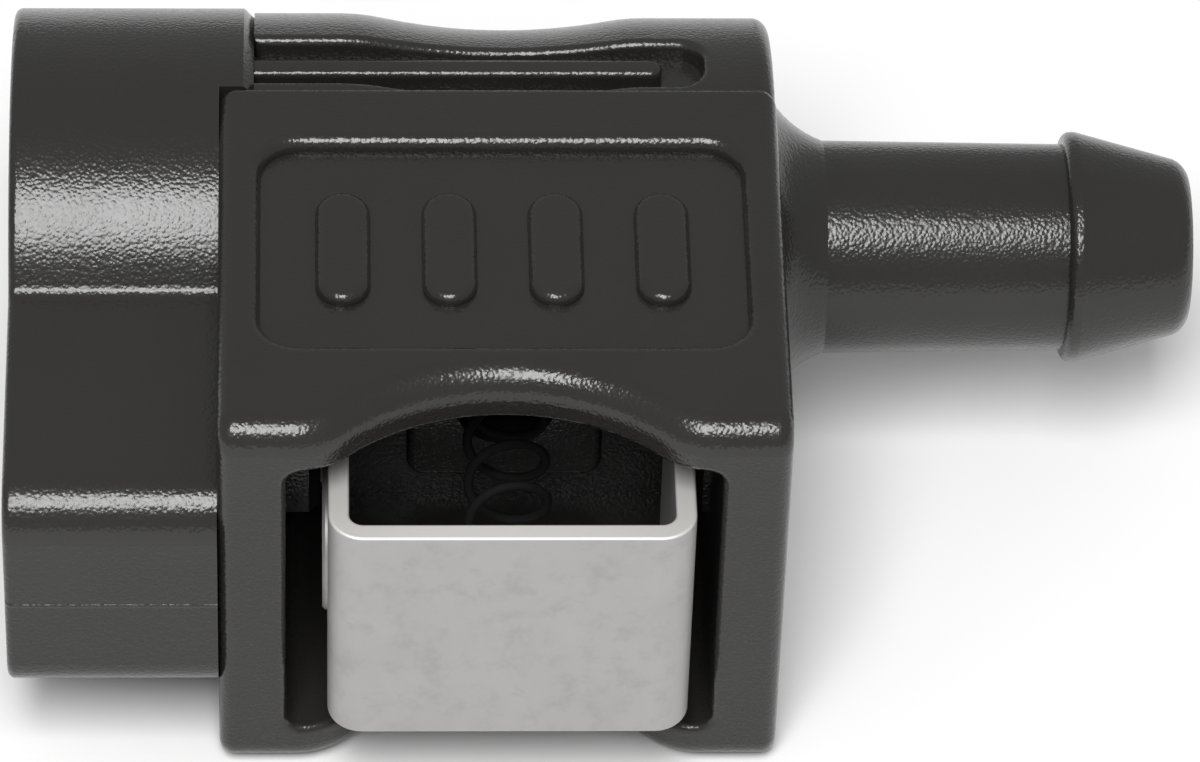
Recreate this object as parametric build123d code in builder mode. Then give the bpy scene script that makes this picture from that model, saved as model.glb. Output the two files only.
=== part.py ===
from build123d import *
import math
import os

# Fuel line quick disconnect coupling, millimetres.
# X runs along the fuel line, from the socket's mouth (X = 0) to the hose barb's tip.
# The latch button faces -Y, and the coupling lies on one of its two flat sides, down -Z.
# A "reach" is a distance from the fuel line towards the button, so it lies at Y = -reach.

# Housing: a round-backed block round the fuel line, open at the front for the latch
side_half_width = 10.6      # flat sides, from the fuel line
front_reach = 21.4
flat_back_reach = 0.6       # back edge of the flat sides
block_start = 9.1           # left end of the flat-sided part
nose_rim_length = 1.5       # nose's half rim behind the block's left end
block_length = 24.3
back_inset = 0.2            # round back's drop below the flat sides
back_draft = 0.2            # its further drop at the right end
saddle_depth = 0.65         # finger hollow round the back
saddle_left_margin = 3.9    # round back left full at each end of the hollow
saddle_right_margin = 5.4
saddle_shoulder_radius = 9.0
front_edge_round = 1.4
end_edge_round = 0.7
back_edge_round = 0.4
left_wall = 2.9
right_wall = 2.9
side_wall = 2.4
chamber_wall = 1.5          # valve chamber to the floor of the latch pit
pit_corner_round = 0.8
arch_depth = 3.2            # thumb cut in each side wall
arch_margin = 3.3           # front edge left full at each end of the cut
arch_shoulder_radius = 3.6
inner_edge_round = 0.35

# Grip panels sunk in the flat sides
panel_left_margin = 1.8
panel_right_margin = 1.7
panel_back_margin = 3.45    # flat side left full behind the panel
panel_front_margin = 5.4    # and in front of it
panel_depth = 0.7
panel_corner_round = 1.7
panel_edge_round = 0.6
rib_count = 4
rib_pitch = 4.57
rib_width = 2.36
rib_end_margin = 2.7        # panel's long edges to the ribs
rib_height = 0.55
rib_crown_round = 0.45

# Long pockets beside the round back
pocket_width = 3.0
pocket_depth = 1.9          # flat sides to the pocket's floor
pocket_end_wall = 3.1
pocket_end_round = 1.2
pocket_rib_width = 1.0
pocket_rib_drop = 0.75      # flat sides to the rib's crest
pocket_rib_offset = 0.95    # pocket's front edge to the rib
pocket_rib_gap = 1.8        # rib's end to the pocket's end
pocket_rib_round_share = 0.49
pocket_rib_crest_round = 0.3
pocket_rim_round = 0.35

# Neck, stem and hose barb
neck_radius = 6.9
neck_waist_radius = 5.7
neck_waist_share = 0.38
neck_length = 2.5
stem_radius = 4.75
stem_end_radius = 4.6
stem_length = 10.7
barb_radius = 5.15
barb_shoulder = 0.6
barb_length = 5.1
barb_tip_radius = 3.75
barb_tip_round = 1.1
barb_shoulder_round = 0.4
hose_bore_radius = 3.0
hose_bore_lead = 0.4

# Socket nose: a keyhole-shaped moulding that takes the fuel probe and the guide pin
nose_front_proud = 0.1      # nose's front beyond the housing's
lobe_half_width = 6.0
lobe_corner_round = 2.2
nose_waist_round = 0.8      # hollow corner between the round part and the lobe
nose_mouth_round = 0.35
nose_rim_chamfer = 0.45
probe_radius = 4.5
probe_lead = 0.4
guide_pin_radius = 2.4
guide_pin_reach = 15.5
spigot_radius = 6.5
spigot_length = 4.4         # past the block's left end
spigot_fit = 0.05
seat_width = 0.9            # cone that the plunger's seal closes on

# Seals, rings of round section
seal_room = 0.12            # seal to the sides of its groove
seal_fit = 0.03             # seal to what it is stretched over
probe_seal_section = 0.95   # radius of the ring's section
probe_seal_start = 5.0      # mouth to the groove
body_seal_section = 0.62
body_seal_start = 1.9       # block's left end to the groove

# Check valve in the fuel line
chamber_radius = 5.9
chamber_length = 15.5       # past the spigot
plunger_head_radius = 5.1
plunger_lip_radius = 4.2
plunger_lip_length = 0.5
plunger_head_length = 1.6
plunger_seal_section = 0.55
plunger_seal_radius = 4.55  # to the centre of its section
plunger_nose_radius = 3.0
plunger_nose_length = 3.6
plunger_tip_round = 0.4
fin_count = 4
fin_length = 5.2
fin_thickness = 1.5
fin_fit = 0.15              # guide fins to the chamber's wall
plunger_tail_radius = 1.8
plunger_tail_length = 3.6
valve_spring_radius = 3.2   # to the wire's centre
valve_spring_wire = 0.35    # wire's radius
valve_spring_turns = 3.5

# Latch: one folded strip, pushed out by a coil spring
latch_thickness = 0.9
latch_half_height = 6.2
latch_proud = 1.9           # plate's face beyond the housing's front
latch_left_gap = 1.8        # left wall to the latch's leg
latch_right_gap = 1.1       # its other leg to the right wall
latch_floor_room = 1.3      # pressed latch to the pit's floor
latch_bend_round = 0.6      # inside of each bend
latch_edge_round = 0.15
latch_travel = 1.9
foot_half_height = 3.0
foot_clearance = 0.3        # feet to the end walls and to their stops
stop_length = 1.5
stop_chamfer = 0.5
pin_hole_radius = 2.65
pin_rim_width = 0.55
pin_rim_height = 0.22

# Latch spring and its boss
boss_width = 8.6
boss_height = 2.6
boss_corner_round = 0.9
spring_seat_radius = 2.15
latch_spring_radius = 1.7   # to the wire's centre
latch_spring_wire = 0.22
latch_spring_turns = 5.5
spring_end_gap = 0.02       # spring's ends to their seats

os.makedirs("parts", exist_ok=True)

# Places worked out from the sizes
nose_radius = side_half_width
nose_front_reach = front_reach + nose_front_proud
back_radius = side_half_width - back_inset
back_end_radius = back_radius - back_draft
panel_back_reach = flat_back_reach + panel_back_margin
panel_front_reach = front_reach - panel_front_margin
rib_length = panel_front_reach - panel_back_reach - 2 * rib_end_margin
pit_floor_reach = chamber_radius + chamber_wall
block_end = block_start + block_length
back_start = block_start + nose_rim_length
pit_start = block_start + left_wall
pit_end = block_end - right_wall
pit_half_height = side_half_width - side_wall
spigot_end = block_start + spigot_length
chamber_end = spigot_end + chamber_length
neck_end = block_end + neck_length
stem_end = neck_end + stem_length
barb_end = stem_end + barb_shoulder + barb_length
latch_left = pit_start + latch_left_gap
latch_right = pit_end - latch_right_gap
latch_width = latch_right - latch_left
latch_middle = (latch_left + latch_right) / 2
latch_face_reach = front_reach + latch_proud
foot_reach = pit_floor_reach + latch_floor_room + latch_travel
latch_depth = latch_face_reach - foot_reach
stop_reach = foot_reach + latch_thickness + foot_clearance
seat_start = spigot_end - seat_width
probe_groove_radius = probe_radius + 2 * probe_seal_section + seal_fit + seal_room
probe_groove_end = probe_seal_start + 2 * (probe_seal_section + seal_room)
plunger_seal_x = (
    seat_start
    + plunger_seal_radius - probe_radius
    + math.sqrt(2) * (plunger_seal_section + seal_room)
)
plunger_lip_end = plunger_seal_x - plunger_seal_section - seal_room
plunger_nose_end = plunger_lip_end - plunger_lip_length
head_start = plunger_seal_x + plunger_seal_section + seal_room
fin_start = head_start + plunger_head_length
fin_end = fin_start + fin_length


def hollow(start, end, depth, shoulder_radius):
    # Smooth dip between two points, to the left of the way from start to end:
    # a shoulder arc, a hollow arc through the lowest point, and a shoulder arc
    start = Vector(*start)
    end = Vector(*end)
    along = (end - start).normalized()
    lowest = (start + end) / 2 + along.rotate(Axis.Z, 90) * depth
    both_radii = ((end - start).length ** 2 / 4 + depth**2) / (2 * depth)
    share = shoulder_radius / both_radii
    first_join = start + (lowest - start) * share
    last_join = end + (lowest - end) * share
    TangentArc(start, first_join, tangent=along)
    ThreePointArc(first_join, lowest, last_join)
    TangentArc(end, last_join, tangent=along * -1)


# ---- Grip rib, used on both sides of the housing ----
with BuildPart() as grip_rib:
    with BuildSketch(Plane.XY):
        SlotOverall(rib_length, rib_width, rotation=90)
    extrude(amount=rib_height)
    fillet(grip_rib.faces().sort_by(Axis.Z)[-1].edges(), radius=rib_crown_round)

# ---- Housing ----
with BuildPart() as housing:
    # Flat-sided block in front of the fuel line
    with BuildSketch(Plane.YZ.offset(block_start)):
        with Locations((-(front_reach + flat_back_reach) / 2, 0)):
            Rectangle(front_reach - flat_back_reach, 2 * side_half_width)
    extrude(amount=block_length)
    block_edges = housing.edges().filter_by(Axis.X)
    fillet(block_edges.group_by(Axis.Y)[-1], radius=back_edge_round)
    # Thumb cuts in the front edges of both side walls
    with BuildSketch(Plane.XY):
        with BuildLine():
            arch_left = (block_start + arch_margin, -front_reach)
            arch_right = (block_end - arch_margin, -front_reach)
            hollow(arch_left, arch_right, arch_depth, arch_shoulder_radius)
            Line(arch_right, arch_left)
        make_face()
    extrude(amount=side_half_width, both=True, mode=Mode.SUBTRACT)
    sides = housing.faces().filter_by(Axis.Z).group_by(Axis.Z)
    rim = (sides[0] + sides[-1]).edges().filter_by_position(
        Axis.Y, -front_reach, -front_reach + arch_depth
    )
    fillet(rim, radius=front_edge_round)
    fillet(housing.faces().filter_by(Axis.X).edges(), radius=end_edge_round)
    # Round back with its finger hollow, neck, stem and barb, turned about the fuel line
    with BuildSketch(Plane.XY):
        with BuildLine():
            saddle_left = (back_start + saddle_left_margin, back_radius)
            saddle_right = (block_end - saddle_right_margin, back_end_radius)
            end_top = (block_end - end_edge_round, back_end_radius)
            neck_waist = (block_end + neck_waist_share * neck_length, neck_waist_radius)
            barb_crest = (stem_end + barb_shoulder, barb_radius)
            Line((back_start, 0), (back_start, back_radius))
            Line((back_start, back_radius), saddle_left)
            hollow(saddle_right, saddle_left, saddle_depth, saddle_shoulder_radius)
            Line(saddle_right, end_top)
            RadiusArc(end_top, (block_end, back_end_radius - end_edge_round), end_edge_round)
            Line((block_end, back_end_radius - end_edge_round), (block_end, neck_radius))
            ThreePointArc((block_end, neck_radius), neck_waist, (neck_end, stem_radius))
            Line((neck_end, stem_radius), (stem_end, stem_end_radius))
            FilletPolyline(
                (stem_end, stem_end_radius),
                (stem_end, barb_radius),
                barb_crest,
                (barb_end, barb_tip_radius),
                (barb_end, 0),
                radius=[barb_shoulder_round, barb_shoulder_round, barb_tip_round],
            )
            Line((barb_end, 0), (back_start, 0))
        make_face()
    revolve(axis=Axis.X)
    # Grip panels and long pockets, alike on both flat sides
    panel_start = block_start + panel_left_margin
    panel_end = block_end - panel_right_margin
    panel_middle = (
        (panel_start + panel_end) / 2,
        -(panel_back_reach + panel_front_reach) / 2,
    )
    pocket_length = block_length - nose_rim_length - pocket_end_wall
    for face, outermost in ((1, -1), (-1, 0)):
        flat_side = Plane.XY.offset(face * side_half_width)
        with BuildSketch(flat_side):
            with Locations(panel_middle):
                RectangleRounded(
                    panel_end - panel_start,
                    panel_front_reach - panel_back_reach,
                    panel_corner_round,
                )
        extrude(amount=-face * panel_depth, mode=Mode.SUBTRACT)
        panel_rim = (
            housing.edges()
            .group_by(Axis.Z)[outermost]
            .filter_by_position(Axis.X, panel_start, panel_end)
            .filter_by_position(Axis.Y, -panel_front_reach, -panel_back_reach)
        )
        fillet(panel_rim, radius=panel_edge_round)
        panel_floor = face * (side_half_width - panel_depth)
        with Locations(Plane((*panel_middle, panel_floor), z_dir=(0, 0, face))):
            with GridLocations(rib_pitch, 0, rib_count, 1):
                add(grip_rib.part)
        # Pocket, open to the side and closed at its left by the nose's rim
        with BuildSketch(flat_side):
            with Locations((back_start, 0)):
                Rectangle(pocket_length, pocket_width, align=(Align.MIN, Align.MIN))
            right_corners = vertices().group_by(Axis.X)[-1]
            fillet(right_corners, radius=pocket_end_round)
        extrude(amount=-face * pocket_depth, mode=Mode.SUBTRACT)
        pocket_floor = side_half_width - pocket_depth
        pocket_rim = [
            edge
            for edge in housing.edges().filter_by_position(Axis.Y, pocket_width, pocket_width)
            if face * edge.center().Z > pocket_floor + pocket_rim_round
        ]
        fillet(pocket_rim, radius=pocket_rim_round)
        with BuildSketch(Plane.XY.offset(face * pocket_floor)):
            with Locations((back_start, pocket_rib_offset)):
                Rectangle(
                    pocket_length - pocket_rib_gap,
                    pocket_rib_width,
                    align=(Align.MIN, Align.MIN),
                )
            rib_corners = vertices().group_by(Axis.X)[-1]
            fillet(rib_corners, radius=pocket_rib_width * pocket_rib_round_share)
        extrude(amount=face * (pocket_depth - pocket_rib_drop))
        crest_middle = (
            back_start + pocket_length / 2,
            pocket_rib_offset + pocket_rib_width / 2,
            face * (side_half_width - pocket_rib_drop),
        )
        crest = housing.faces().sort_by_distance(crest_middle)[0]
        fillet(crest.edges().sort_by(Axis.X)[1:], radius=pocket_rib_crest_round)
    # Latch pit, open at the front
    with BuildSketch(Plane.XZ.offset(pit_floor_reach)):
        with Locations(((pit_start + pit_end) / 2, 0)):
            RectangleRounded(pit_end - pit_start, 2 * pit_half_height, pit_corner_round)
    extrude(amount=front_reach, mode=Mode.SUBTRACT)
    pit_walls = (
        housing.faces()
        .filter_by_position(Axis.X, pit_start, pit_end)
        .filter_by_position(Axis.Z, -pit_half_height, pit_half_height)
    )
    pit_rim = pit_walls.edges().filter_by_position(
        Axis.Y, -front_reach, -front_reach + arch_depth
    )
    fillet(pit_rim, radius=inner_edge_round)
    # Boss that seats the latch spring
    with BuildSketch(Plane.XZ.offset(pit_floor_reach)):
        with Locations((latch_middle, 0)):
            RectangleRounded(boss_width, boss_width, boss_corner_round)
    extrude(amount=boss_height)
    boss_top = (latch_middle, -pit_floor_reach - boss_height, 0)
    fillet(housing.faces().sort_by_distance(boss_top)[0].edges(), radius=inner_edge_round)
    with Locations(Plane(boss_top, z_dir=(0, -1, 0))):
        Hole(spring_seat_radius, boss_height)
    # Stops on the end walls, over the latch's feet
    for wall_x, stop_x, lean in (
        (pit_start, latch_left - foot_clearance, -stop_chamfer),
        (pit_end, latch_right + foot_clearance, stop_chamfer),
    ):
        with BuildSketch(Plane.XY):
            with BuildLine():
                Polyline(
                    (wall_x, -stop_reach),
                    (stop_x, -stop_reach),
                    (stop_x, -stop_reach - stop_length + stop_chamfer),
                    (stop_x + lean, -stop_reach - stop_length),
                    (wall_x, -stop_reach - stop_length),
                    close=True,
                )
            make_face()
        extrude(amount=foot_half_height, both=True)
    # Guide pin's hole through the left wall
    with Locations(Plane((block_start, -guide_pin_reach, 0), z_dir=(-1, 0, 0))):
        Hole(guide_pin_radius, left_wall)
    # Nose's spigot, valve chamber and hose bore
    with BuildSketch(Plane.XY):
        with BuildLine():
            Polyline(
                (block_start, 0),
                (block_start, spigot_radius + spigot_fit),
                (spigot_end, spigot_radius + spigot_fit),
                (spigot_end, chamber_radius),
                (chamber_end, chamber_radius),
                (chamber_end, hose_bore_radius),
                (barb_end - hose_bore_lead, hose_bore_radius),
                (barb_end, hose_bore_radius + hose_bore_lead),
                (barb_end, 0),
                close=True,
            )
        make_face()
    revolve(axis=Axis.X, mode=Mode.SUBTRACT)
housing.part.label = "housing"
export_step(housing.part, "parts/housing.step")

# ---- Socket nose ----
with BuildPart() as socket_nose:
    with BuildSketch(Plane.YZ) as keyhole:
        Circle(nose_radius)
        with Locations((-nose_front_reach / 2, 0)):
            Rectangle(nose_front_reach, 2 * lobe_half_width)
        corners = keyhole.vertices().group_by(Axis.X)
        fillet(corners[0], radius=lobe_corner_round)
        waist = keyhole.vertices().filter_by_position(
            Axis.X, -nose_radius, -nose_radius / 2
        ).group_by(Axis.X)[-1]
        fillet(waist, radius=nose_waist_round)
    extrude(amount=block_start)
    # Half rim that closes against the housing's round back
    with BuildSketch(Plane.YZ.offset(block_start)):
        Circle(nose_radius)
        with Locations((-flat_back_reach, 0)):
            Rectangle(
                2 * nose_radius,
                2 * nose_radius,
                align=(Align.MAX, Align.CENTER),
                mode=Mode.SUBTRACT,
            )
    extrude(amount=nose_rim_length)
    rim_end = socket_nose.faces().sort_by(Axis.X)[-1]
    chamfer(rim_end.edges().filter_by(GeomType.CIRCLE), length=nose_rim_chamfer)
    fillet(socket_nose.faces().sort_by(Axis.X)[0].edges(), radius=nose_mouth_round)
    # Spigot with the body seal's groove round it
    body_groove_start = block_start + body_seal_start
    body_groove_end = body_groove_start + 2 * (body_seal_section + seal_room)
    body_groove_radius = spigot_radius - 2 * body_seal_section
    with BuildSketch(Plane.XY):
        with BuildLine():
            Polyline(
                (block_start, 0),
                (block_start, spigot_radius),
                (body_groove_start, spigot_radius),
                (body_groove_start, body_groove_radius),
                (body_groove_end, body_groove_radius),
                (body_groove_end, spigot_radius),
                (spigot_end, spigot_radius),
                (spigot_end, 0),
                close=True,
            )
        make_face()
    revolve(axis=Axis.X)
    # Probe's bore with its seal's groove, ending in the valve's seat
    with BuildSketch(Plane.XY):
        with BuildLine():
            Polyline(
                (0, 0),
                (0, probe_radius + probe_lead),
                (probe_lead, probe_radius),
                (probe_seal_start, probe_radius),
                (probe_seal_start, probe_groove_radius),
                (probe_groove_end, probe_groove_radius),
                (probe_groove_end, probe_radius),
                (seat_start, probe_radius),
                (spigot_end, probe_radius + seat_width),
                (spigot_end, 0),
                close=True,
            )
        make_face()
    revolve(axis=Axis.X, mode=Mode.SUBTRACT)
    with Locations(Plane((0, -guide_pin_reach, 0), z_dir=(-1, 0, 0))):
        CounterSinkHole(
            guide_pin_radius,
            guide_pin_radius + probe_lead,
            depth=block_start,
            counter_sink_angle=90,
        )
socket_nose.part.label = "socket_nose"
export_step(socket_nose.part, "parts/socket_nose.step")

# ---- Seals ----
with BuildPart() as probe_seal:
    with BuildSketch(Plane.XY):
        probe_seal_x = (probe_seal_start + probe_groove_end) / 2
        with Locations((probe_seal_x, probe_groove_radius - seal_room - probe_seal_section)):
            Circle(probe_seal_section)
    revolve(axis=Axis.X)
probe_seal.part.label = "probe_seal"
export_step(probe_seal.part, "parts/probe_seal.step")

with BuildPart() as body_seal:
    with BuildSketch(Plane.XY):
        body_seal_x = (body_groove_start + body_groove_end) / 2
        with Locations((body_seal_x, body_groove_radius + seal_fit + body_seal_section)):
            Circle(body_seal_section)
    revolve(axis=Axis.X)
body_seal.part.label = "body_seal"
export_step(body_seal.part, "parts/body_seal.step")

with BuildPart() as plunger_seal:
    with BuildSketch(Plane.XY):
        with Locations((plunger_seal_x, plunger_seal_radius)):
            Circle(plunger_seal_section)
    revolve(axis=Axis.X)
plunger_seal.part.label = "plunger_seal"
export_step(plunger_seal.part, "parts/plunger_seal.step")

# ---- Valve plunger ----
with BuildPart() as valve_plunger:
    plunger_groove_radius = plunger_seal_radius - plunger_seal_section - seal_fit
    with BuildSketch(Plane.XY):
        with BuildLine():
            Polyline(
                (plunger_nose_end - plunger_nose_length, 0),
                (plunger_nose_end - plunger_nose_length, plunger_nose_radius),
                (plunger_nose_end, plunger_nose_radius),
                (plunger_nose_end, plunger_lip_radius),
                (plunger_lip_end, plunger_lip_radius),
                (plunger_lip_end, plunger_groove_radius),
                (head_start, plunger_groove_radius),
                (head_start, plunger_head_radius),
                (fin_start, plunger_head_radius),
                (fin_start, plunger_tail_radius),
                (fin_end + plunger_tail_length, plunger_tail_radius),
                (fin_end + plunger_tail_length, 0),
                close=True,
            )
        make_face()
    revolve(axis=Axis.X)
    nose_tip = valve_plunger.faces().sort_by(Axis.X)[0]
    tail_tip = valve_plunger.faces().sort_by(Axis.X)[-1]
    fillet(nose_tip.edges() + tail_tip.edges(), radius=plunger_tip_round)
    # Guide fins with the fuel's way between them
    with BuildSketch(Plane.YZ.offset(fin_start)):
        with PolarLocations(0, fin_count):
            Rectangle(
                chamber_radius - fin_fit,
                fin_thickness,
                align=(Align.MIN, Align.CENTER),
            )
        Circle(chamber_radius - fin_fit, mode=Mode.INTERSECT)
    extrude(amount=fin_length)
valve_plunger.part.label = "valve_plunger"
export_step(valve_plunger.part, "parts/valve_plunger.step")

# ---- Springs: open coils of round wire between flat seats ----


def coil(start, direction, length, radius, wire_radius, turns):
    # The wire's first and last turns touch the ends of the given length
    height = length - 2 * wire_radius
    with BuildPart() as spring:
        with BuildLine() as path:
            Helix(
                pitch=height / turns,
                height=height,
                radius=radius,
                center=Vector(*start) + Vector(*direction) * wire_radius,
                direction=direction,
            )
        with BuildSketch(path.line ^ 0):
            Circle(wire_radius)
        sweep(is_frenet=True)
    return spring


valve_spring = coil(
    (fin_end + spring_end_gap, 0, 0),
    (1, 0, 0),
    chamber_end - fin_end - 2 * spring_end_gap,
    valve_spring_radius,
    valve_spring_wire,
    valve_spring_turns,
)
valve_spring.part.label = "valve_spring"
export_step(valve_spring.part, "parts/valve_spring.step")

latch_spring = coil(
    (latch_middle, -pit_floor_reach - spring_end_gap, 0),
    (0, -1, 0),
    latch_face_reach - latch_thickness - pit_floor_reach - 2 * spring_end_gap,
    latch_spring_radius,
    latch_spring_wire,
    latch_spring_turns,
)
latch_spring.part.label = "latch_spring"
export_step(latch_spring.part, "parts/latch_spring.step")

# ---- Latch ----
with BuildPart() as latch:
    half_sheet = latch_thickness / 2
    bend = latch_bend_round + half_sheet
    left_leg_x = latch_left + half_sheet
    right_leg_x = latch_right - half_sheet
    left_foot_x = pit_start + foot_clearance
    right_foot_x = pit_end - foot_clearance
    with BuildSketch(Plane.XY):
        with BuildLine() as strip:
            FilletPolyline(
                (left_foot_x, -foot_reach - half_sheet),
                (left_leg_x, -foot_reach - half_sheet),
                (left_leg_x, -latch_face_reach + half_sheet),
                (right_leg_x, -latch_face_reach + half_sheet),
                (right_leg_x, -foot_reach - half_sheet),
                (right_foot_x, -foot_reach - half_sheet),
                radius=[half_sheet, bend, bend, half_sheet],
            )
        trace(line_width=latch_thickness)
    extrude(amount=latch_half_height, both=True)
    # Feet narrower than the strip
    foot_top = -foot_reach - latch_thickness - foot_clearance
    for outer_x, side in ((latch_left, Align.MAX), (latch_right, Align.MIN)):
        for face, end in ((1, Align.MIN), (-1, Align.MAX)):
            with Locations((outer_x, foot_top, face * foot_half_height)):
                Box(
                    latch_width,
                    latch_depth,
                    latch_half_height,
                    align=(side, Align.MIN, end),
                    mode=Mode.SUBTRACT,
                )
    strip_edges = (
        latch.faces().filter_by(Axis.Z).group_by(Axis.Z)[0].edges()
        + latch.faces().filter_by(Axis.Z).group_by(Axis.Z)[-1].edges()
    )
    fillet(
        strip_edges.filter_by_position(Axis.Y, -latch_face_reach, foot_top - latch_edge_round),
        radius=latch_edge_round,
    )
    # Hole that the guide pin passes while the latch is pressed, with a coined rim
    pin_hole_y = -guide_pin_reach - latch_travel
    with BuildSketch(Plane.YZ.offset(latch_left)):
        with Locations((pin_hole_y, 0)):
            Circle(pin_hole_radius + pin_rim_width)
    extrude(amount=-pin_rim_height)
    pin_rim = latch.faces().sort_by_distance((latch_left - pin_rim_height, pin_hole_y, 0))[0]
    chamfer(pin_rim.edges(), length=pin_rim_height / 2)
    with Locations(Plane((latch_left, pin_hole_y, 0), z_dir=(-1, 0, 0))):
        Hole(pin_hole_radius, latch_thickness)
latch.part.label = "latch"
export_step(latch.part, "parts/latch.step")
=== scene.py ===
import math
import bpy
from mathutils import Matrix, Vector


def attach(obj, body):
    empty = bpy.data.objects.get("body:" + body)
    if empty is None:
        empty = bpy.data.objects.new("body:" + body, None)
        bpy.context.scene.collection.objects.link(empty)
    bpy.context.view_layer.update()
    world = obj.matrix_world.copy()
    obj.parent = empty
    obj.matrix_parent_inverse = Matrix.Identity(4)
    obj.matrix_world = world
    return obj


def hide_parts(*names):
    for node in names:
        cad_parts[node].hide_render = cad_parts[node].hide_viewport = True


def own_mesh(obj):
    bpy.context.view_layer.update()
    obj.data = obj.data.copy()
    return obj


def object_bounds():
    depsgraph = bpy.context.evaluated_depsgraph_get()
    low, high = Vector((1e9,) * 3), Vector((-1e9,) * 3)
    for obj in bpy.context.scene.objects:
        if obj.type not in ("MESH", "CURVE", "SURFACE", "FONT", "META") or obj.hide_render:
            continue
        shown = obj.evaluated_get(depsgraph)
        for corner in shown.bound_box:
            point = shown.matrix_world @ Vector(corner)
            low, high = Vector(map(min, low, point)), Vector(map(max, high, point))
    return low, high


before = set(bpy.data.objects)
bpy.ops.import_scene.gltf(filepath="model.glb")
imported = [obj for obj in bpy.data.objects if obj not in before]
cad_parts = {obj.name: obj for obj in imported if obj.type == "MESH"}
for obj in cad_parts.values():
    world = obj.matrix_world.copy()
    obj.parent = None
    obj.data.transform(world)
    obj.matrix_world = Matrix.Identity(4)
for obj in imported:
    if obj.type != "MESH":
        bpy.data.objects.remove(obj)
cadLow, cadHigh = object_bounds()
print("frame loaded")


# Shader maths: a wrapped socket whose operators add their own nodes
class Wire:
    def __init__(self, graph, socket):
        self.graph = graph
        self.socket = socket

    def join(self, operation, first, second):
        return self.graph.node("ShaderNodeMath", {"operation": operation}, {0: first, 1: second})

    def __add__(self, other):
        return self.join("ADD", self, other)

    def __radd__(self, other):
        return self.join("ADD", other, self)

    def __sub__(self, other):
        return self.join("SUBTRACT", self, other)

    def __mul__(self, other):
        return self.join("MULTIPLY", self, other)


class Graph:
    def __init__(self, name):
        self.material = bpy.data.materials.new(name)
        self.material.use_nodes = True
        self.tree = self.material.node_tree
        self.shader = self.tree.nodes["Principled BSDF"]

    def node(self, kind, settings=None, inputs=None, output=0):
        made = self.tree.nodes.new(kind)
        for key, value in (settings or {}).items():
            setattr(made, key, value)
        for key, value in (inputs or {}).items():
            self.feed(made.inputs[key], value)
        return Wire(self, made.outputs[output])

    def feed(self, socket, value):
        if isinstance(value, Wire):
            self.tree.links.new(value.socket, socket)
        else:
            socket.default_value = value

    def place(self):
        return self.node("ShaderNodeTexCoord", output="Object")

    def noise(self, place, scale, detail, roughness=0.5):
        return self.node(
            "ShaderNodeTexNoise",
            {"noise_dimensions": "3D"},
            {"Vector": place, "Scale": scale, "Detail": detail, "Roughness": roughness},
        )

    def ramp(self, value, low, high, start=0.0, end=1.0):
        return self.node(
            "ShaderNodeMapRange",
            {"interpolation_type": "SMOOTHSTEP"},
            {"Value": value, "From Min": low, "From Max": high, "To Min": start, "To Max": end},
        )

    def mix(self, factor, first, second):
        return self.node(
            "ShaderNodeMix",
            {"data_type": "RGBA"},
            {"Factor": factor, 6: first, 7: second},
            output=2,
        )

    def distanceFromMiddle(self, place):
        height = self.node("ShaderNodeSeparateXYZ", {}, {"Vector": place}, output=2)
        return self.node("ShaderNodeMath", {"operation": "ABSOLUTE"}, {0: height})

    def bump(self, height, strength, distance, normal=None):
        inputs = {"Height": height, "Strength": strength, "Distance": distance}
        if normal:
            inputs["Normal"] = normal
        return self.node("ShaderNodeBump", {}, inputs)


def grey(level, warmth=0.0):
    return (level * (1 + warmth), level, level * (1 - warmth), 1.0)


# Moulded plastic: satin, with a fine spark-eroded grain and faint cloudiness
plastic = {
    "level": 0.019,
    "warmth": 0.05,
    "cloud": 0.12,
    "cloudScale": 160,
    "roughness": 0.2,
    "cloudRoughness": 0.12,
    "grainRoughness": 0.2,
    "specular": 0.43,
    "grainScale": 5200,
    "grainHeight": 0.5,
    "pebbleScale": 6000,
    "grainStrength": 0.65,
    "grainDistance": 0.000022,
}
# Parting line down the middle of the nose's front
partingLine = {
    "reach": 0.021,
    "fade": 0.0005,
    "halfWidth": 0.00005,
    "edge": 0.00008,
    "height": 0.00006,
}


def makePlastic(name, values, line=None):
    graph = Graph(name)
    place = graph.place()
    cloud = graph.noise(place, values["cloudScale"], 4)
    fleck = graph.noise(place, values["grainScale"], 2, 0.6)
    pebbles = graph.node(
        "ShaderNodeTexVoronoi",
        {"feature": "SMOOTH_F1"},
        {"Vector": place, "Scale": values["pebbleScale"], "Smoothness": 0.5},
    )
    low = grey(values["level"] * (1 - values["cloud"]), values["warmth"])
    high = grey(values["level"] * (1 + values["cloud"]), values["warmth"])
    graph.feed(graph.shader.inputs["Base Color"], graph.mix(cloud, low, high))
    rough = (
        values["roughness"]
        + (cloud - 0.5) * values["cloudRoughness"]
        + (fleck - 0.5) * values["grainRoughness"]
    )
    graph.feed(graph.shader.inputs["Roughness"], rough)
    height = fleck * values["grainHeight"] - pebbles
    normal = graph.bump(height, values["grainStrength"], values["grainDistance"])
    if line:
        across = graph.node("ShaderNodeSeparateXYZ", {}, {"Vector": place}, output=1)
        front = graph.ramp(across, -line["reach"], -line["reach"] + line["fade"], 1.0, 0.0)
        away = graph.distanceFromMiddle(place)
        lineEnd = line["halfWidth"] + line["edge"]
        mark = graph.ramp(away, line["halfWidth"], lineEnd, 1.0, 0.0) * front
        normal = graph.bump(mark, 1.0, line["height"], normal)
    graph.feed(graph.shader.inputs["Normal"], normal)
    graph.shader.inputs["Specular IOR Level"].default_value = values["specular"]
    return graph.material


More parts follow.
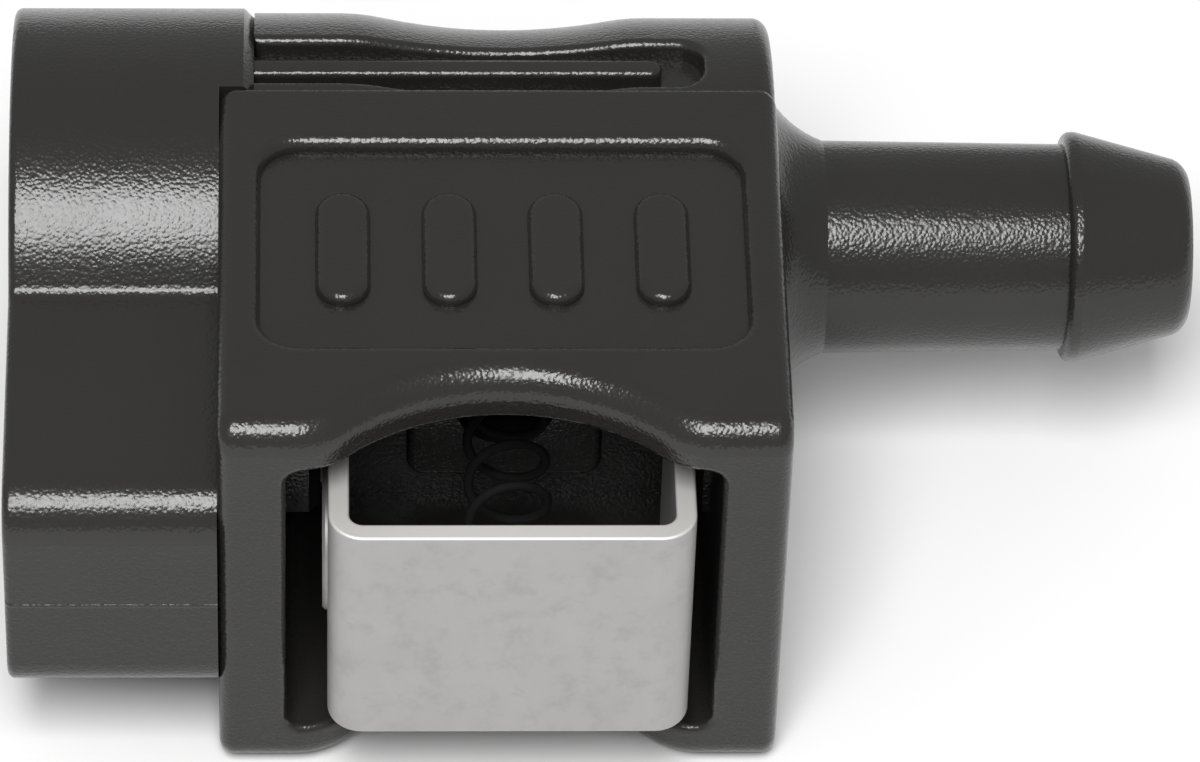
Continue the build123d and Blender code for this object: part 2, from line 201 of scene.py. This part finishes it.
# Stainless strip: matte grey with faint smudges, and a painted sheen: paler along its top and bottom
# edges
steel = {
    "level": 0.40,
    "paleShare": 1.06,
    "darkShare": 0.86,
    "stainShare": 0.68,
    "stainFactor": 0.4,
    "edgeSheenLevel": 0.72,
    "halfHeight": 0.0062,
    "edgeStart": 0.0001,
    "edgeEnd": 0.00003,
    "warmth": 0.015,
    "cloudScale": 260,
    "smudgeScale": 850,
    "grainScale": 4200,
    "roughness": 0.5,
    "cloudRoughness": 0.1,
    "grainRoughness": 0.08,
    "grainStrength": 0.15,
    "grainDistance": 0.00001,
    "metallic": 0.5,
}


def makeSteel(name, values):
    graph = Graph(name)
    place = graph.place()
    warmth = values["warmth"]
    cloud = graph.noise(place, values["cloudScale"], 5, 0.6)
    smudge = graph.ramp(graph.noise(place, values["smudgeScale"], 6, 0.65), 0.45, 0.75)
    fleck = graph.noise(place, values["grainScale"], 2)
    pale = grey(values["level"] * values["paleShare"], warmth)
    dark = grey(values["level"] * values["darkShare"], warmth)
    stain = grey(values["level"] * values["stainShare"], warmth * 2)
    soiled = graph.mix(smudge * values["stainFactor"], graph.mix(cloud, dark, pale), stain)
    # Painted highlight: a paler band along the strip's top and bottom edges stands for the sheen the
    # top edge catches
    paintedEdgeSheen = graph.ramp(
        graph.distanceFromMiddle(place),
        values["halfHeight"] - values["edgeStart"],
        values["halfHeight"] - values["edgeEnd"],
    )
    edgeSheenTone = grey(values["edgeSheenLevel"], warmth * 2)
    graph.feed(graph.shader.inputs["Base Color"], graph.mix(paintedEdgeSheen, soiled, edgeSheenTone))
    graph.shader.inputs["Metallic"].default_value = values["metallic"]
    rough = (
        values["roughness"]
        + (cloud - 0.5) * values["cloudRoughness"]
        + (fleck - 0.5) * values["grainRoughness"]
    )
    graph.feed(graph.shader.inputs["Roughness"], rough)
    grain = graph.bump(fleck, values["grainStrength"], values["grainDistance"])
    graph.feed(graph.shader.inputs["Normal"], grain)
    return graph.material


# The other pieces have one tone each, slightly mottled
mottle = {"scale": 900, "spread": 0.1, "roughness": 0.1}
valveFinish = {"level": 0.6, "warmth": 0.04, "roughness": 0.45}
rubber = {"level": 0.02, "roughness": 0.5}
brightWire = {"level": 0.3, "roughness": 0.3, "metallic": 1.0}
# Painted shade: the latch coil's wire is near-black so that it blends into the shade inside the
# cavity
shadeMatchedWire = {"level": 0.009, "roughness": 0.8, "specular": 0.1}


def makePlain(name, values):
    graph = Graph(name)
    spots = graph.noise(graph.place(), mottle["scale"], 3)
    warmth = values.get("warmth", 0.0)
    low = grey(values["level"] * (1 - mottle["spread"]), warmth)
    high = grey(values["level"] * (1 + mottle["spread"]), warmth)
    graph.feed(graph.shader.inputs["Base Color"], graph.mix(spots, low, high))
    rough = values["roughness"] + (spots - 0.5) * mottle["roughness"]
    graph.feed(graph.shader.inputs["Roughness"], rough)
    graph.shader.inputs["Metallic"].default_value = values.get("metallic", 0.0)
    graph.shader.inputs["Specular IOR Level"].default_value = values.get("specular", 0.5)
    return graph.material


finishes = {
    "housing": makePlastic("housingPlastic", plastic),
    "socket_nose": makePlastic("nosePlastic", plastic, partingLine),
    "latch": makeSteel("latchSteel", steel),
    "valve_plunger": makePlain("valvePlastic", valveFinish),
    "probe_seal": makePlain("sealRubber", rubber),
    "body_seal": makePlain("bodySealRubber", rubber),
    "plunger_seal": makePlain("plungerSealRubber", rubber),
}
for node, material in finishes.items():
    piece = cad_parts[node]
    for slot in piece.material_slots:
        slot.material = material
print("finishes set")


# Coil springs with closed ends, standing for the plain CAD coils, each with a mesh of its own
def makeCoil(name, values, material):
    wire = values["wireRadius"]
    rise = values["length"] - 2 * wire
    closed = values["closedPitch"] * values["closedTurns"]
    runs = (
        (values["closedTurns"], closed),
        (values["openTurns"], rise - 2 * closed),
        (values["closedTurns"], closed),
    )
    turned = 0
    height = wire
    lengths = []
    for turns, climb in runs:
        bpy.ops.object.select_all(action="DESELECT")
        bpy.ops.mesh.primitive_circle_add(
            vertices=values["wireSides"],
            radius=wire,
            location=(values["coilRadius"], 0, 0),
            rotation=(math.pi / 2, 0, 0),
        )
        length = bpy.context.object
        bpy.ops.object.transform_apply(location=True, rotation=True, scale=True)
        screw = length.modifiers.new("screw", "SCREW")
        screw.angle = 2 * math.pi * turns
        screw.screw_offset = climb
        screw.steps = round(values["stepsPerTurn"] * turns)
        screw.render_steps = screw.steps
        screw.use_normal_calculate = True
        bpy.ops.object.modifier_apply(modifier="screw")
        length.location = (0, 0, height)
        length.rotation_euler = (0, 0, 2 * math.pi * turned)
        bpy.ops.object.transform_apply(location=True, rotation=True, scale=True)
        turned += turns
        height += climb
        lengths.append(length)
    bpy.ops.object.select_all(action="DESELECT")
    for length in lengths:
        length.select_set(True)
    bpy.context.view_layer.objects.active = lengths[0]
    bpy.ops.object.join()
    spring = bpy.context.object
    spring.name = name
    bpy.ops.object.mode_set(mode="EDIT")
    bpy.ops.mesh.select_all(action="SELECT")
    bpy.ops.mesh.remove_doubles(threshold=wire * 0.05)
    bpy.ops.mesh.select_all(action="DESELECT")
    bpy.ops.mesh.select_non_manifold()
    bpy.ops.mesh.edge_face_add()
    bpy.ops.mesh.select_all(action="SELECT")
    bpy.ops.mesh.normals_make_consistent(inside=False)
    bpy.ops.object.mode_set(mode="OBJECT")
    spring.rotation_euler = values["turn"]
    spring.location = values["foot"]
    bpy.ops.object.transform_apply(location=True, rotation=True, scale=True)
    bpy.ops.object.shade_smooth()
    spring.data.materials.append(material)
    return spring


latchCoil = {
    "coilRadius": 0.0017,
    "wireRadius": 0.00022,
    "length": 0.01496,
    "closedPitch": 0.00048,
    "closedTurns": 1,
    "openTurns": 5.5,
    "wireSides": 10,
    "stepsPerTurn": 28,
    "foot": (0.0216, -0.00742, 0),
    "turn": (math.pi / 2, 0, 0),
    "limitShare": 0.873,
}
latchSpring = makeCoil("latchCoil", latchCoil, makePlain("springSteelPaintedShade", shadeMatchedWire))
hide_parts("latch_spring")
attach(latchSpring, "body")
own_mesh(latchSpring)

valveCoil = {
    "coilRadius": 0.0032,
    "wireRadius": 0.00035,
    "length": 0.00785,
    "closedPitch": 0.00075,
    "closedTurns": 1,
    "openTurns": 3.5,
    "wireSides": 10,
    "stepsPerTurn": 32,
    "foot": (0.029, 0, 0),
    "turn": (0, -math.pi / 2, 0),
    "limitShare": 0.62,
}
valveSpring = makeCoil("valveCoil", valveCoil, makePlain("valveSpringSteel", brightWire))
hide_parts("valve_spring")
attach(valveSpring, "body")
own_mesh(valveSpring)
print("springs wound")

# Floor, lamp and camera
studio = {
    "floorSize": 3.0,
    "floorLevel": 0.92,
    "floorRoughness": 0.9,
    "floorSpecular": 0.1,
    "surround": 0.42,
    "lensLength": 240,
    "sensorWidth": 36,
    "cameraDistance": 0.357,
    "cameraElevation": 46.6,
    "standAlong": 0.0128,
    "aimAlong": 0.0260,
    "aimBelow": 0.0060,
}
bpy.ops.object.select_all(action="DESELECT")
bpy.ops.mesh.primitive_plane_add(size=studio["floorSize"], location=(0, 0, cadLow.z))
floor = bpy.context.object
floor.name = "floor"
floorGraph = Graph("floorPaper")
floorGraph.shader.inputs["Base Color"].default_value = grey(studio["floorLevel"])
floorGraph.shader.inputs["Roughness"].default_value = studio["floorRoughness"]
floorGraph.shader.inputs["Specular IOR Level"].default_value = studio["floorSpecular"]
floor.data.materials.append(floorGraph.material)

# One soft lamp, higher than the camera and a little to its left
softbox = {
    "elevation": 60,
    "across": -0.03,
    "distance": 0.6,
    "size": (0.24, 0.30),
    "power": 3.4,
    "target": (0.026, -0.006, 0),
}
lampAngle = math.radians(softbox["elevation"])
lamp = bpy.data.lights.new("keyLamp", "AREA")
lamp.shape = "RECTANGLE"
lamp.size, lamp.size_y = softbox["size"]
lamp.energy = softbox["power"]
lampObject = bpy.data.objects.new("keyLamp", lamp)
bpy.context.scene.collection.objects.link(lampObject)
lampObject.location = (
    softbox["across"],
    -softbox["distance"] * math.cos(lampAngle),
    softbox["distance"] * math.sin(lampAngle),
)
lampWay = Vector(softbox["target"]) - lampObject.location
lampObject.rotation_euler = lampWay.to_track_quat("-Z", "Y").to_euler()

world = bpy.data.worlds.new("studio")
bpy.context.scene.world = world
world.use_nodes = True
background = world.node_tree.nodes["Background"]
background.inputs["Color"].default_value = grey(1.0)
background.inputs["Strength"].default_value = studio["surround"]

camera = bpy.data.cameras.new("camera")
camera.lens = studio["lensLength"]
camera.sensor_width = studio["sensorWidth"]
cameraObject = bpy.data.objects.new("camera", camera)
bpy.context.scene.collection.objects.link(cameraObject)
elevation = math.radians(studio["cameraElevation"])
back = Vector((0, -math.cos(elevation), math.sin(elevation)))
up = Vector((0, math.sin(elevation), math.cos(elevation)))
aimPoint = Vector((studio["aimAlong"], 0, 0)) - up * studio["aimBelow"]
cameraPlace = (
    Vector((studio["standAlong"], 0, 0)) - up * studio["aimBelow"] + back * studio["cameraDistance"]
)
forward = (aimPoint - cameraPlace).normalized()
right = (Vector((1, 0, 0)) - forward * forward.x).normalized()
cameraObject.location = cameraPlace
cameraObject.rotation_euler = Matrix((right, right.cross(forward), -forward)).transposed().to_euler()
bpy.context.scene.camera = cameraObject
bpy.context.scene.view_settings.view_transform = "Standard"
print("studio set")
